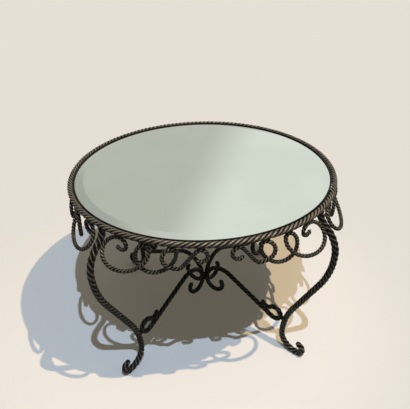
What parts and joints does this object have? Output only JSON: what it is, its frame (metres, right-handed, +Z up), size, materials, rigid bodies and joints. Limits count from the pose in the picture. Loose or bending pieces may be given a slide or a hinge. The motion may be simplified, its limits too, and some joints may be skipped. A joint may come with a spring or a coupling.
{
  "type": "round coffee table",
  "caption": "Round wrought-iron coffee table: twisted cabriole legs, scrolled braces, looped rod apron, rope-edged ring and a lift-out bevelled mirror top.",
  "frame": {"origin": "on the floor, under the middle of the table", "axes": "+Z up, front towards -Y, legs on the diagonals between X and Y"},
  "size_m": [0.7, 0.6998, 0.5],
  "materials": {
    "rope_iron": "blackened iron with the strand crowns rubbed to a grey-brown",
    "hoop_iron": "blackened flat iron, satin",
    "leg_iron": "blackened twisted bar with worn ridges",
    "brace_iron": "near-black forged bar with a faint twist",
    "apron_iron": "blackened finely twisted rod with worn ridges",
    "mirror": "silvered glass with a polished bevel"
  },
  "bodies": {
    "frame": {"rope_ring": "rope_iron", "rim_hoop": "hoop_iron", "leg_back_right": "leg_iron", "leg_back_left": "leg_iron", "leg_front_left": "leg_iron", "leg_front_right": "leg_iron", "brace_back_right": "brace_iron", "brace_back_left": "brace_iron", "brace_front_left": "brace_iron", "brace_front_right": "brace_iron", "apron_back_right": "apron_iron", "apron_back_left": "apron_iron", "apron_front_left": "apron_iron", "apron_front_right": "apron_iron", "apron_left_back": "apron_iron", "apron_left_front": "apron_iron", "apron_right_back": "apron_iron", "apron_right_front": "apron_iron"},
    "mirror": {"mirror_top": "mirror"}
  },
  "joints": [
    {"name": "mirror_lift", "type": "slide", "parent": "frame", "child": "mirror", "axis": [0, 0, 1], "range_m": [0, 0.05]}
  ]
}
